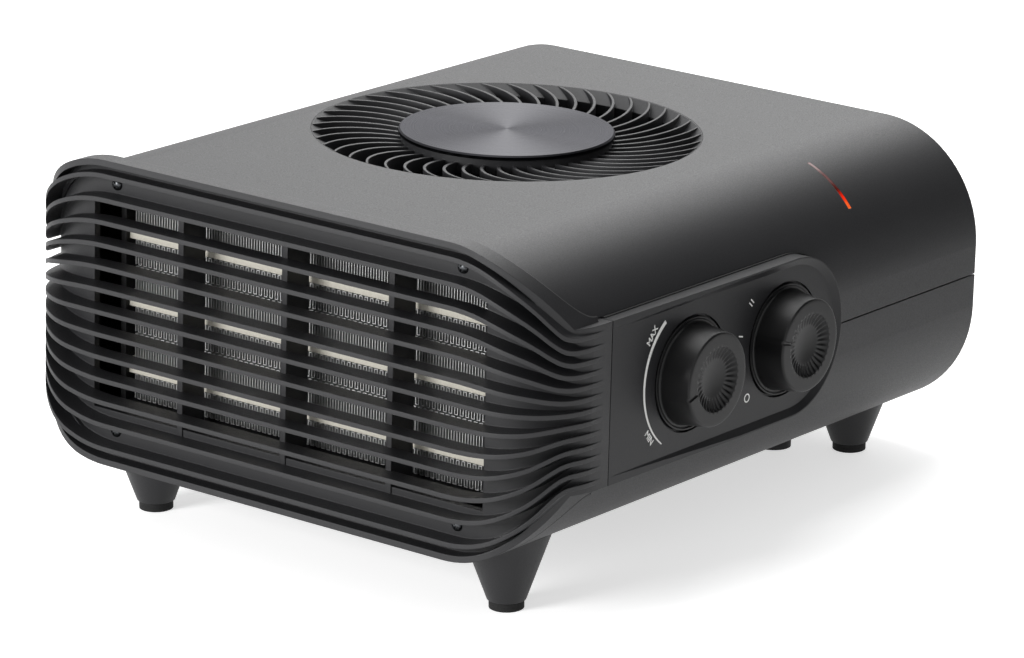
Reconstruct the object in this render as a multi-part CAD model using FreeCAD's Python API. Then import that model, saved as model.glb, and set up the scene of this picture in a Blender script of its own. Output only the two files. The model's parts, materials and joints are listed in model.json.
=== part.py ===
# Ceramic fan heater: a low rounded housing with a ribbed front, a round inlet on top and two side knobs.
# Millimetres. The body is drawn level: front is -Y, knobs on +X, Z up. It leans back on its feet.
import math
import os

import FreeCAD
import Part

# Body section and its walls
BODY_HALF_W = 127.0
BODY_HALF_H = 59.6
BODY_CORNER = 45.0
BODY_CLEARANCE = 26.0
COVER_STEP = 4.5
FRONT_Y = -127.0
REAR_Y = 149.5
WALL = 2.5
PARTING_DROP = 1.6
SEAM = 0.5
TONGUE = 1.6
TONGUE_REACH = 5.0

# Front grille
CORNER_R = 34.0
LIP_DEPTH = 4.0
LIP_FLANGE = 2.0
RIM_WALL = 2.4
RIB_DEPTH = 8.0
RIB_THICK = 1.8
RIB_CORNER_R = 27.5
RIBS_EACH_SIDE = 5
RIB_BEND_STEPS = 6
END_RIB_INSET = 6.2
END_RIB_STEP = 9.3
BASE_RUN_OUT = 0.4
BASE_THICK = 3.0
SLEEVE_GAP = 0.15
SLEEVE_DEPTH = 3.0
WINDOW_OVERLAP = 1.8
WINDOW_INSET = 3.6
BAYS = 4
INNER_BAY_EXTRA = 3.5
MULLION_W = 2.6
MULLION_GAP = 1.0

# Side panels
PANEL_FRONT_STEP = 4.6
PANEL_LENGTH = 143.6
PANEL_HALF_H = 31.0
PANEL_THICK = 5.0
PANEL_GAP = 0.4
BORDER_W = 3.2
BORDER_CREST_W = 0.6
BORDER_H = 1.6
BORDER_RISE_LENGTH = 80.0

# Knobs, their shafts and the controls behind them
THERMOSTAT_INSET = 48.7
KNOB_SPACING = 58.7
KNOB_LEVEL = 0.5
KNOB_RISE = 12.2
KNOB_FACE_R = 17.7
KNOB_TAPER = 1.4
KNOB_SKIRT_W = 2.3
KNOB_SKIRT_H = 1.6
KNOB_RING_W = 5.6
KNOB_DIMPLE_DEPTH = 2.6
KNOB_GAP = 0.8
KNOB_POCKET = 1.6
KNOB_LIFT = 0.4
KNOB_SOCKET = 7.5
FLUTES = 32
FLUTE_W = 0.8
FLUTE_DEPTH = 0.5
FLUTE_LENGTH = 6.6
POINTER_W = 1.2
POINTER_DEPTH = 0.6
THERMOSTAT_REST = 14.0
POWER_REST = -15.0
SHAFT_R = 3.0
RUNNING_GAP = 0.05
END_GAP = 0.4
CONTROL_SIDE = 27.0
CONTROL_DEPTH = 20.0
SHAFT_REACH = 12.0

# Round inlet on top
INLET_X = -10.6
INLET_Y = 25.4
INLET_R = 75.6
DISH_W = 6.0
DISH_DEPTH = 3.8
INLET_FLANGE = 3.0
INLET_GRILLE_H = 7.5
VANES = 45
VANE_THICK = 1.3
VANE_SWEEP = 16.0
VANE_DROP = 3.5
HUB_R = 40.9
CAP_OVERHANG = 1.0
CAP_THICK = 1.8
CAP_RISE = 0.8
CAP_EDGE = 0.6

# Pilot light along the rear right corner
PILOT_INSET = 75.0
PILOT_W = 1.6
PILOT_FROM = 38.5
PILOT_TO = 70.3
PILOT_FLANGE = 1.5
PILOT_FLANGE_W = 6.0

# Feet and lean
LEAN = 2.15
FOOT_SIDE_INSET = 41.5
FOOT_FRONT_INSET = 34.6
FOOT_REAR_INSET = 20.5
FOOT_TIP_R = 7.4
FOOT_FLARE = 8.1
PAD_STEP = 0.8
PAD_H = 3.5

# Tip-over switch
PLUNGER_SIDE_INSET = 67.0
PLUNGER_REAR_INSET = 37.5
PLUNGER_R = 7.5
PLUNGER_COLLAR = 2.0
PLUNGER_HEAD_H = 3.0
PLUNGER_GAP = 0.08
PLUNGER_TRAVEL = 6.0
SWITCH_WALL = 3.0

# Heating element
HEATER_SETBACK = 13.0
HEATER_DEPTH = 24.0
HEATER_SIDE_INSET = 35.0
HEATER_WALL = 2.5
BARS = 3
BAR_H = 6.0
FIN_H = 10.25
FIN_WAVES = 27
FIN_THICK = 0.6
FIN_FLAT = 1.2
HEATER_INSET = 2.0
HEATER_SLACK = 0.5
TERMINAL_W = 6.3
TERMINAL_THICK = 0.8
TERMINAL_REACH = 9.0
CUTOUT_X = 40.0
CUTOUT_R = 8.0
CUTOUT_H = 6.0

# Blower
SCROLL_Y = 11.6
SCROLL_STAND = 5.0
SCROLL_WALL = 2.5
SCROLL_HEADROOM = 15.2
TONGUE_GAP = 5.0
IMPELLER_R = 60.0
IMPELLER_GAP = 6.0
EYE_LAP = 4.0
IMPELLER_PLATE = 2.0
IMPELLER_RING = 3.0
BLADES = 24
BLADE_THICK = 1.2
BLADE_CHORD = 13.0
BLADE_ANGLE = 35.0
IMPELLER_HUB_R = 8.0
IMPELLER_HUB_H = 14.0
MOTOR_R = 30.0
MOTOR_H = 20.0
MOTOR_SHAFT_R = 3.0
MOTOR_SHAFT_REACH = 12.0
POST_R = 5.0

# Fasteners, cord gland and terminal block
SCREW_SIDE_INSET = 10.5
SCREW_EDGE_INSET = 11.2
SCREW_HEAD_R = 3.2
SCREW_HEAD_H = 1.6
SCREW_SHANK_R = 1.6
SCREW_LENGTH = 11.0
SCREW_GAP = 0.15
BOSS_HALF = 4.0
BOSS_DEPTH = 8.0
CASE_SCREW_X = 40.0
CASE_SCREW_INSET = 17.5
CASE_POST_R = 5.0
GLAND_X = -70.0
GLAND_HEIGHT = 20.0
GLAND_R = 8.0
GLAND_LIP = 2.5
GLAND_FLANGE = 2.0
GLAND_SLEEVE = 10.0
BLOCK_X = -62.0
BLOCK_INSET = 27.5
BLOCK_W = 30.0
BLOCK_D = 16.0
BLOCK_H = 14.0

# Places that follow from the sizes above
BODY_MID_Z = BODY_CLEARANCE + BODY_HALF_H
TOP_Z = BODY_MID_Z + BODY_HALF_H
BOTTOM_Z = BODY_CLEARANCE
COVER_TOP_Z = TOP_Z - COVER_STEP
FLOOR_Z = BOTTOM_Z + WALL
PARTING_Z = BODY_MID_Z - PARTING_DROP
CORNER_CENTRE_X = BODY_HALF_W - CORNER_R
CORNER_CENTRE_Y = FRONT_Y + CORNER_R
BASE_Y = FRONT_Y + RIB_DEPTH
END_RIB_OFFSET = BODY_HALF_H - END_RIB_INSET
RIB_PITCH = (END_RIB_OFFSET - END_RIB_STEP) / RIBS_EACH_SIDE
HEATER_HALF_W = BODY_HALF_W - HEATER_SIDE_INSET
WINDOW_HALF_W = HEATER_HALF_W + WINDOW_OVERLAP
WINDOW_HALF_H = RIB_PITCH * RIBS_EACH_SIDE - WINDOW_INSET
MULLION_PITCH = 2 * WINDOW_HALF_W / BAYS + INNER_BAY_EXTRA
SCREW_X = CORNER_CENTRE_X - SCREW_SIDE_INSET
SCREW_OFFSET = BODY_HALF_H - SCREW_EDGE_INSET
PANEL_FRONT_Y = CORNER_CENTRE_Y + PANEL_FRONT_STEP
PANEL_REAR_Y = PANEL_FRONT_Y + PANEL_LENGTH
PANEL_BACK_X = BODY_HALF_W - PANEL_THICK
THERMOSTAT_Y = PANEL_FRONT_Y + THERMOSTAT_INSET
POWER_Y = THERMOSTAT_Y + KNOB_SPACING
KNOB_Z = BODY_MID_Z + KNOB_LEVEL
KNOB_FACE_X = BODY_HALF_W + KNOB_RISE
KNOB_FOOT_R = KNOB_FACE_R + KNOB_TAPER
KNOB_SKIRT_R = KNOB_FOOT_R + KNOB_SKIRT_W
KNOB_DIMPLE_R = KNOB_FACE_R - KNOB_RING_W
POCKET_X = BODY_HALF_W - KNOB_POCKET
KNOB_BACK_X = POCKET_X + KNOB_LIFT
SHAFT_END_X = KNOB_BACK_X + KNOB_SOCKET
DISH_R = INLET_R - DISH_W
CAP_R = HUB_R + CAP_OVERHANG
PILOT_Y = REAR_Y - PILOT_INSET
FOOT_X = BODY_HALF_W - FOOT_SIDE_INSET
FOOT_FRONT_Y = FRONT_Y + FOOT_FRONT_INSET
FOOT_REAR_Y = REAR_Y - FOOT_REAR_INSET
PAD_R = FOOT_TIP_R - PAD_STEP
PLUNGER_X = BODY_HALF_W - PLUNGER_SIDE_INSET
PLUNGER_Y = REAR_Y - PLUNGER_REAR_INSET
PLUNGER_HEAD_R = PLUNGER_R + PLUNGER_COLLAR
HEATER_FRONT_Y = BASE_Y + HEATER_SETBACK
HEATER_REAR_Y = HEATER_FRONT_Y + HEATER_DEPTH
HEATER_HALF_H = HEATER_WALL + HEATER_SLACK + BARS * (BAR_H / 2 + FIN_H)
MULLION_BACK_Y = HEATER_FRONT_Y - MULLION_GAP
SCROLL_R = HEATER_HALF_W
SCROLL_FLOOR_Z = FLOOR_Z + SCROLL_STAND
SCROLL_TOP_Z = COVER_TOP_Z - SCROLL_HEADROOM
MOTOR_Z = SCROLL_FLOOR_Z + SCROLL_WALL
MOTOR_TOP_Z = MOTOR_Z + MOTOR_H
IMPELLER_Z = MOTOR_TOP_Z + IMPELLER_GAP
IMPELLER_H = SCROLL_TOP_Z - IMPELLER_GAP - IMPELLER_Z
EYE_R = IMPELLER_R - EYE_LAP
CASE_SCREW_Y = REAR_Y - CASE_SCREW_INSET
GLAND_Z = BOTTOM_Z + GLAND_HEIGHT
GLAND_FLANGE_R = GLAND_R + GLAND_LIP
BLOCK_Y = REAR_Y - BLOCK_INSET
LONG = 400.0
UP = FreeCAD.Vector(0, 0, 1)
ACROSS = FreeCAD.Vector(1, 0, 0)
BACK = FreeCAD.Vector(0, 1, 0)


def point(x, y, z):
    return FreeCAD.Vector(x, y, z)


def box(x0, x1, y0, y1, z0, z1):
    return Part.makeBox(x1 - x0, y1 - y0, z1 - z0, point(x0, y0, z0))


def rod(radius, start, length, axis=UP):
    return Part.makeCylinder(radius, length, start, axis)


def join(shapes):
    return shapes[0].multiFuse(shapes[1:]).removeSplitter()


def ring_copies(shape, count, x, y):
    """The shape repeated evenly about a vertical axis."""
    copies = []
    for index in range(count):
        copy = shape.copy()
        copy.rotate(point(x, y, 0), UP, 360.0 * index / count)
        copies.append(copy)
    return copies


def mirrored(shape):
    return shape.mirror(point(0, 0, 0), ACROSS)


def revolved(profile, x, y):
    """A solid turned about the vertical axis at x, y from (radius, height) corners."""
    corners = [point(x + r, y, z) for r, z in profile]
    face = Part.Face(Part.makePolygon(corners + corners[:1]))
    return face.revolve(point(x, y, 0), UP, 360)


def section(inset, y0, y1, top=COVER_TOP_Z):
    """The covers' rounded section, or the grille's taller one, drawn in by inset and run from y0 to y1."""
    half_w = BODY_HALF_W - inset
    block = box(-half_w, half_w, y0, y1, BOTTOM_Z + inset, top - inset)
    corners = [edge for edge in block.Edges if abs(edge.tangentAt(edge.FirstParameter).y) > 0.9]
    return block.makeFillet(BODY_CORNER - inset, corners)


def plan(reach_x, reach_y, y1):
    """A tall block whose front corners are round in plan, about the corner centres."""
    if reach_x == reach_y:
        arc = Part.Circle(point(CORNER_CENTRE_X, CORNER_CENTRE_Y, 0), UP, reach_x)
    else:
        arc = Part.Ellipse(point(CORNER_CENTRE_X, CORNER_CENTRE_Y, 0), reach_x, reach_y)
    right = arc.toShape(1.5 * math.pi, 2 * math.pi)
    left = right.mirror(point(0, 0, 0), ACROSS)
    side_x = CORNER_CENTRE_X + reach_x
    front_y = CORNER_CENTRE_Y - reach_y
    front = Part.makeLine(point(-CORNER_CENTRE_X, front_y, 0), point(CORNER_CENTRE_X, front_y, 0))
    sides = Part.makePolygon([
        point(side_x, CORNER_CENTRE_Y, 0),
        point(side_x, y1, 0),
        point(-side_x, y1, 0),
        point(-side_x, CORNER_CENTRE_Y, 0),
    ])
    outline = Part.Wire(Part.sortEdges([front, right, left] + sides.Edges)[0])
    return Part.Face(outline).extrude(UP * LONG)


def side_wire(inset, y0, x):
    """The side panels' outline at x, straight in front and round behind, drawn in by inset."""
    half_h = PANEL_HALF_H - inset
    round_y = PANEL_REAR_Y - PANEL_HALF_H
    low = BODY_MID_Z - half_h
    high = BODY_MID_Z + half_h
    arc = Part.Arc(point(x, round_y, high), point(x, round_y + half_h, BODY_MID_Z), point(x, round_y, low))
    straight = Part.makePolygon([
        point(x, round_y, low),
        point(x, y0, low),
        point(x, y0, high),
        point(x, round_y, high),
    ])
    return Part.Wire(Part.sortEdges([arc.toShape()] + straight.Edges)[0])


def side_outline(inset, y0, x0, x1):
    """A block with the side panels' outline from x0 to x1."""
    return Part.Face(side_wire(inset, y0, x0)).extrude(ACROSS * (x1 - x0))


def section_half_height(x):
    """Half the housing's height at a distance x from its middle."""
    along = max(0.0, min(x - (BODY_HALF_W - BODY_CORNER), BODY_CORNER))
    return BODY_HALF_H - BODY_CORNER + math.sqrt(BODY_CORNER ** 2 - along ** 2)


def rib_edge(offset, shift):
    """One long edge of a rib, level in front and drawn towards the middle round both corners."""
    start_x = BODY_HALF_W - BODY_CORNER
    points = [point(start_x, 0, BODY_MID_Z + offset + shift)]
    for step in range(RIB_BEND_STEPS + 1):
        x = CORNER_CENTRE_X + CORNER_R * math.sin(math.radians(90.0 * step / RIB_BEND_STEPS))
        scale = max(section_half_height(x), PANEL_HALF_H) / BODY_HALF_H
        points.append(point(x, 0, BODY_MID_Z + offset * scale + shift))
    points.append(points[-1] + ACROSS * RIB_THICK)
    bend = Part.BSplineCurve()
    bend.interpolate(Points=points, InitialTangent=ACROSS, FinalTangent=ACROSS)
    right = bend.toShape()
    level = Part.makeLine(point(-start_x, 0, points[0].z), points[0])
    return [right, level, mirrored(right)], points[-1]


def rib(offset):
    upper, upper_end = rib_edge(offset, RIB_THICK / 2)
    lower, lower_end = rib_edge(offset, -RIB_THICK / 2)
    end = Part.makeLine(upper_end, lower_end)
    outline = Part.Wire(Part.sortEdges(upper + lower + [end, mirrored(end)])[0])
    face = Part.Face(outline)
    face.translate(point(0, FRONT_Y - RIB_THICK, 0))
    return face.extrude(BACK * (CORNER_R + 2 * RIB_THICK))


def ribs():
    offsets = [RIB_PITCH * index for index in range(-RIBS_EACH_SIDE, RIBS_EACH_SIDE + 1)]
    return [rib(offset) for offset in offsets + [END_RIB_OFFSET, -END_RIB_OFFSET]]


def slab(inset, y1):
    """The flat band on both sides that carries the panels, in front of y1."""
    half_w = BODY_HALF_W - inset
    half_h = PANEL_HALF_H - inset
    return box(-half_w, half_w, FRONT_Y, y1, BODY_MID_Z - half_h, BODY_MID_Z + half_h)


def rib_corners(solid):
    """The ribs' ends that stand out past the lip, because they go round the corners more tightly."""
    reach = box(-BODY_HALF_W, BODY_HALF_W, FRONT_Y, CORNER_CENTRE_Y, 0, LONG)
    upright = [edge for edge in reach.Edges if edge.Length > LONG / 2 + BODY_HALF_W
               and edge.CenterOfMass.y < FRONT_Y + SEAM]
    reach = reach.makeFillet(RIB_CORNER_R, upright)
    inside = plan(CORNER_R - SEAM, CORNER_R - SEAM, LONG)
    return solid.common(reach.cut(inside))


def front_grille():
    """Lip, curved base and windows, with ribs that converge round the corners."""
    front = plan(CORNER_R, CORNER_R, LONG)
    seat = plan(CORNER_R - LIP_DEPTH, CORNER_R - RIB_DEPTH, LONG)
    base = plan(CORNER_R + BASE_RUN_OUT, CORNER_R - RIB_DEPTH, LONG)
    behind = plan(CORNER_R - BASE_THICK, CORNER_R - RIB_DEPTH - BASE_THICK, LONG)
    flange = plan(CORNER_R - LIP_DEPTH + LIP_FLANGE, CORNER_R - RIB_DEPTH + LIP_FLANGE, LONG)
    flange = flange.cut(section(END_RIB_INSET, FRONT_Y, LONG, TOP_Z))
    sleeve_y = BASE_Y + BASE_THICK + SLEEVE_DEPTH
    side_y = PANEL_FRONT_Y - PANEL_GAP
    lip = section(0, FRONT_Y, CORNER_CENTRE_Y, TOP_Z).fuse(slab(0, CORNER_CENTRE_Y)).common(front).cut(seat)
    sleeve = section(WALL + SLEEVE_GAP, FRONT_Y, sleeve_y).fuse(slab(0, side_y)).common(front)
    body = lip.fuse(sleeve)
    rim = WALL + SLEEVE_GAP + RIM_WALL
    hollow = section(rim, FRONT_Y, LONG).fuse(slab(RIM_WALL, LONG)).common(behind)
    groove = section(RIM_WALL, FRONT_Y - SEAM, CORNER_CENTRE_Y, TOP_Z).fuse(slab(RIM_WALL, CORNER_CENTRE_Y))
    side_skin = box(-LONG, LONG, FRONT_Y, CORNER_CENTRE_Y, BODY_MID_Z - PANEL_HALF_H + RIM_WALL,
                    BODY_MID_Z + PANEL_HALF_H - RIM_WALL)
    all_ribs = Part.makeCompound(ribs())
    groove = groove.fuse(side_skin).cut(base).cut(flange).cut(all_ribs)
    body = body.cut(hollow).cut(groove)
    body = body.cut(box(-WINDOW_HALF_W, WINDOW_HALF_W, BASE_Y, BASE_Y + 2 * BASE_THICK,
                        BODY_MID_Z - WINDOW_HALF_H, BODY_MID_Z + WINDOW_HALF_H))
    bars = []
    for index in range(1, BAYS):
        x = (index - BAYS / 2) * MULLION_PITCH
        bars.append(box(x - MULLION_W / 2, x + MULLION_W / 2, BASE_Y - SEAM, MULLION_BACK_Y,
                        BODY_MID_Z - WINDOW_HALF_H - MULLION_W, BODY_MID_Z + WINDOW_HALF_H + MULLION_W))
    body = join([body] + bars + rib_corners(all_ribs).Solids)
    for x, z in screw_places():
        body = body.cut(rod(SCREW_SHANK_R + SCREW_GAP, point(x, BASE_Y - BASE_THICK, z), 3 * BASE_THICK, BACK))
    return body


def screw_places():
    return [(side * SCREW_X, BODY_MID_Z + level * SCREW_OFFSET) for level in (1, -1) for side in (-1, 1)]


def grille_screw(x, z):
    head = rod(SCREW_HEAD_R, point(x, BASE_Y - SCREW_HEAD_H, z), SCREW_HEAD_H, BACK)
    shank = rod(SCREW_SHANK_R, point(x, BASE_Y, z), SCREW_LENGTH, BACK)
    return head.fuse(shank).removeSplitter()


def case_shell():
    """The whole housing tube with its rear wall, cut to the grille's seat and the side panels."""
    seat = plan(CORNER_R - LIP_DEPTH - SEAM, CORNER_R - RIB_DEPTH - SEAM, LONG)
    seat = seat.fuse(box(-LONG, LONG, CORNER_CENTRE_Y, LONG, 0, LONG))
    shell = section(0, FRONT_Y, REAR_Y).cut(section(WALL, FRONT_Y - WALL, REAR_Y - WALL)).common(seat)
    opening = side_outline(-PANEL_GAP, FRONT_Y - WALL, CORNER_CENTRE_X, LONG)
    return shell.cut(opening).cut(mirrored(opening))


def screw_boss(x, level):
    """A block behind one grille screw with a nose inside the sleeve and a web to the cover wall."""
    z = BODY_MID_Z + level * SCREW_OFFSET
    wall_z = COVER_TOP_Z - WALL / 2 if level > 0 else BOTTOM_Z + WALL / 2
    block_y = BASE_Y + BASE_THICK
    web_y = block_y + SLEEVE_DEPTH + SLEEVE_GAP
    nose = box(x - BOSS_HALF, x + BOSS_HALF, block_y, web_y + SEAM, z - BOSS_HALF, z + BOSS_HALF)
    nose = nose.common(section(WALL + RIM_WALL + 2 * SLEEVE_GAP, FRONT_Y, REAR_Y))
    block = box(x - BOSS_HALF, x + BOSS_HALF, web_y, web_y + BOSS_DEPTH, z - BOSS_HALF, z + BOSS_HALF)
    web = box(x - BOSS_HALF, x + BOSS_HALF, web_y, web_y + BOSS_DEPTH, min(z, wall_z), max(z, wall_z))
    web = block.fuse(web).common(section(WALL / 2, FRONT_Y, REAR_Y))
    hole = rod(SCREW_SHANK_R + SCREW_GAP, point(x, block_y, z), SCREW_LENGTH, BACK)
    return nose.fuse(web).cut(hole)


def pilot_band(inner_r, outer_r, width):
    """A band along the housing's rear right corner, over the pilot light's angle."""
    centre = point(BODY_HALF_W - BODY_CORNER, PILOT_Y, COVER_TOP_Z - BODY_CORNER)
    corners = [
        centre + ACROSS * inner_r - BACK * width / 2,
        centre + ACROSS * outer_r - BACK * width / 2,
        centre + ACROSS * outer_r + BACK * width / 2,
        centre + ACROSS * inner_r + BACK * width / 2,
    ]
    face = Part.Face(Part.makePolygon(corners + corners[:1]))
    face.rotate(centre, -BACK, PILOT_FROM)
    return face.revolve(centre, -BACK, PILOT_TO - PILOT_FROM)


def top_cover():
    shell = case_shell().common(box(-LONG, LONG, -LONG, LONG, PARTING_Z + SEAM / 2, LONG))
    inlet = rod(INLET_R + SLEEVE_GAP, point(INLET_X, INLET_Y, COVER_TOP_Z - 2 * WALL), 3 * WALL)
    slot = pilot_band(BODY_CORNER - 2 * WALL, BODY_CORNER + WALL, PILOT_W + 2 * SLEEVE_GAP)
    shell = shell.cut(inlet).cut(slot)
    bosses = [screw_boss(side * SCREW_X, 1) for side in (-1, 1)]
    for side in (-1, 1):
        start = point(side * CASE_SCREW_X, CASE_SCREW_Y, PARTING_Z)
        post = rod(CASE_POST_R, start, COVER_TOP_Z - WALL / 2 - PARTING_Z)
        hole = rod(SCREW_SHANK_R + SCREW_GAP, start, SCREW_LENGTH)
        bosses.append(post.cut(hole))
    return join([shell] + bosses)


def bottom_cover():
    shell = case_shell().common(box(-LONG, LONG, -LONG, LONG, 0, PARTING_Z - SEAM / 2))
    tongue = section(WALL, PANEL_REAR_Y + TONGUE_REACH, REAR_Y - WALL)
    tongue = tongue.cut(section(WALL + TONGUE, FRONT_Y, REAR_Y - WALL - TONGUE))
    level = box(-LONG, LONG, FRONT_Y, LONG, PARTING_Z - TONGUE_REACH, PARTING_Z + TONGUE_REACH)
    tongue = tongue.common(level)
    extras = [tongue] + [screw_boss(side * SCREW_X, -1) for side in (-1, 1)]
    for side in (-1, 1):
        start = point(side * CASE_SCREW_X, CASE_SCREW_Y, FLOOR_Z - WALL / 2)
        extras.append(rod(CASE_POST_R, start, PARTING_Z - FLOOR_Z + WALL / 2))
    for x, y in post_places():
        extras.append(rod(POST_R, point(x, y, FLOOR_Z - WALL / 2), SCROLL_FLOOR_Z - FLOOR_Z + WALL / 2))
    body = join([shell] + extras)
    for side in (-1, 1):
        start = point(side * CASE_SCREW_X, CASE_SCREW_Y, BOTTOM_Z - WALL)
        body = body.cut(rod(SCREW_SHANK_R + SCREW_GAP, start, LONG / 2))
        body = body.cut(rod(SCREW_HEAD_R + SCREW_GAP, start, WALL + SCREW_HEAD_H + WALL))
    body = body.cut(rod(PLUNGER_R + PLUNGER_GAP, point(PLUNGER_X, PLUNGER_Y, BOTTOM_Z - WALL), 3 * WALL))
    return body.cut(rod(GLAND_R, point(GLAND_X, REAR_Y - 2 * WALL, GLAND_Z), 3 * WALL, BACK))


def case_screw(x):
    seat_z = BOTTOM_Z + SCREW_HEAD_H + WALL
    head = rod(SCREW_HEAD_R, point(x, CASE_SCREW_Y, seat_z - SCREW_HEAD_H), SCREW_HEAD_H)
    shank = rod(SCREW_SHANK_R, point(x, CASE_SCREW_Y, seat_z), PARTING_Z + SCREW_LENGTH - SCREW_GAP - seat_z)
    return head.fuse(shank).removeSplitter()


def side_panel():
    """A plate on the +X side with a bevelled border that rises from the front towards the round end."""
    crest_x = BODY_HALF_W + BORDER_H
    plate = side_outline(0, PANEL_FRONT_Y, PANEL_BACK_X, crest_x)
    start_y = PANEL_FRONT_Y - BORDER_RISE_LENGTH
    foot = side_wire(BORDER_W, start_y, BODY_HALF_W)
    crest = side_wire(BORDER_CREST_W, start_y, crest_x)
    dish = Part.makeLoft([foot, crest], True)
    slope = Part.Face(Part.makePolygon([
        point(BODY_HALF_W, PANEL_FRONT_Y, 0),
        point(crest_x, PANEL_FRONT_Y + BORDER_RISE_LENGTH, 0),
        point(crest_x, PANEL_FRONT_Y, 0),
        point(BODY_HALF_W, PANEL_FRONT_Y, 0),
    ])).extrude(UP * LONG)
    return plate.cut(dish).cut(slope)


def control_panel():
    panel = side_panel()
    for y in (THERMOSTAT_Y, POWER_Y):
        panel = panel.cut(rod(KNOB_SKIRT_R + KNOB_GAP, point(POCKET_X, y, KNOB_Z), LONG, ACROSS))
        panel = panel.cut(rod(SHAFT_R + END_GAP, point(PANEL_BACK_X - WALL, y, KNOB_Z), LONG, ACROSS))
    return panel


def flute_cutters(y):
    """Radial grooves that follow the slope of a knob's dimple."""
    slope = math.degrees(math.atan2(KNOB_DIMPLE_DEPTH, KNOB_DIMPLE_R))
    outer_r = KNOB_DIMPLE_R - FLUTE_DEPTH
    cutters = []
    for index in range(FLUTES):
        cutter = box(-FLUTE_DEPTH, KNOB_DIMPLE_DEPTH, outer_r - FLUTE_LENGTH, outer_r, -FLUTE_W / 2, FLUTE_W / 2)
        cutter.rotate(point(0, 0, 0), UP, -slope)
        cutter.rotate(point(0, 0, 0), ACROSS, 360.0 * index / FLUTES)
        cutter.translate(point(KNOB_FACE_X - KNOB_DIMPLE_DEPTH, y, KNOB_Z))
        cutters.append(cutter)
    return Part.makeCompound(cutters)


def knob(y, rest_angle):
    """A tapered knob with a skirt, a fluted dimple and a pointer groove turned down by the rest angle."""
    profile = [
        (0, KNOB_BACK_X),
        (KNOB_SKIRT_R, KNOB_BACK_X),
        (KNOB_SKIRT_R, KNOB_BACK_X + KNOB_SKIRT_H),
        (KNOB_FOOT_R, KNOB_BACK_X + KNOB_SKIRT_H),
        (KNOB_FACE_R, KNOB_FACE_X),
        (KNOB_DIMPLE_R, KNOB_FACE_X),
        (0, KNOB_FACE_X - KNOB_DIMPLE_DEPTH),
    ]
    corners = [point(x, y + r, KNOB_Z) for r, x in profile]
    body = Part.Face(Part.makePolygon(corners + corners[:1])).revolve(point(0, y, KNOB_Z), ACROSS, 360)
    socket = rod(SHAFT_R + RUNNING_GAP, point(KNOB_BACK_X, y, KNOB_Z), KNOB_SOCKET, ACROSS)
    pointer = box(KNOB_FACE_X - POINTER_DEPTH, KNOB_FACE_X + POINTER_DEPTH, y - KNOB_FACE_R, y - KNOB_DIMPLE_R,
                  KNOB_Z - POINTER_W / 2, KNOB_Z + POINTER_W / 2)
    body = body.cut(socket).cut(pointer).cut(flute_cutters(y))
    body.rotate(point(0, y, KNOB_Z), ACROSS, rest_angle)
    return body


def control_shaft(y):
    start_x = PANEL_BACK_X - SHAFT_REACH + END_GAP
    return rod(SHAFT_R, point(start_x, y, KNOB_Z), SHAFT_END_X - start_x, ACROSS)


def control_body(y):
    half = CONTROL_SIDE / 2
    block = box(PANEL_BACK_X - CONTROL_DEPTH, PANEL_BACK_X, y - half, y + half, KNOB_Z - half, KNOB_Z + half)
    return block.cut(rod(SHAFT_R + RUNNING_GAP, point(PANEL_BACK_X - SHAFT_REACH, y, KNOB_Z), SHAFT_REACH, ACROSS))


def vane():
    """One swept vane from the hub to the inlet's rim."""
    def swept(r, shift):
        angle = math.radians(VANE_SWEEP * ((r - HUB_R) / (INLET_R - HUB_R)) ** 2)
        x = r * math.cos(angle) - shift * math.sin(angle)
        y = r * math.sin(angle) + shift * math.cos(angle)
        return point(x, y, 0)
    radii = (HUB_R - VANE_THICK, (HUB_R + INLET_R) / 2, INLET_R - SEAM)
    left = [swept(r, VANE_THICK / 2) for r in radii]
    right = [swept(r, -VANE_THICK / 2) for r in radii]
    edges = [Part.Arc(*left).toShape(), Part.Arc(*right).toShape()]
    edges += [Part.makeLine(left[0], right[0]), Part.makeLine(left[-1], right[-1])]
    face = Part.Face(Part.Wire(Part.sortEdges(edges)[0]))
    face.translate(point(INLET_X, INLET_Y, COVER_TOP_Z - INLET_GRILLE_H))
    return face.extrude(UP * INLET_GRILLE_H)


def inlet_grille():
    """A dished ring under the top cover, swirl vanes and a hub."""
    low = COVER_TOP_Z - INLET_GRILLE_H
    ring = revolved([
        (INLET_R, COVER_TOP_Z),
        (DISH_R, COVER_TOP_Z - DISH_DEPTH),
        (DISH_R, low),
        (INLET_R, low),
    ], INLET_X, INLET_Y)
    flange = revolved([
        (INLET_R - SEAM, low),
        (INLET_R + INLET_FLANGE, low),
        (INLET_R + INLET_FLANGE, COVER_TOP_Z - WALL),
        (INLET_R - SEAM, COVER_TOP_Z - WALL),
    ], INLET_X, INLET_Y)
    flat_x = BODY_HALF_W - BODY_CORNER
    flange = flange.common(box(-flat_x, flat_x, FRONT_Y, REAR_Y, 0, LONG))
    hub = rod(HUB_R, point(INLET_X, INLET_Y, low), COVER_TOP_Z + CAP_RISE - CAP_THICK - low)
    blades = Part.makeCompound(ring_copies(vane(), VANES, INLET_X, INLET_Y))
    inner_r = HUB_R - 2 * VANE_THICK
    above = revolved([
        (inner_r, COVER_TOP_Z - VANE_DROP),
        (HUB_R, COVER_TOP_Z - VANE_DROP),
        (INLET_R, COVER_TOP_Z),
        (INLET_R, COVER_TOP_Z + INLET_GRILLE_H),
        (inner_r, COVER_TOP_Z + INLET_GRILLE_H),
    ], INLET_X, INLET_Y)
    return join([ring, flange, hub] + blades.cut(above).Solids)


def inlet_cap():
    top = COVER_TOP_Z + CAP_RISE
    return revolved([
        (0, top),
        (CAP_R - CAP_EDGE, top),
        (CAP_R, top - CAP_EDGE),
        (CAP_R, top - CAP_THICK),
        (0, top - CAP_THICK),
    ], INLET_X, INLET_Y)


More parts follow.
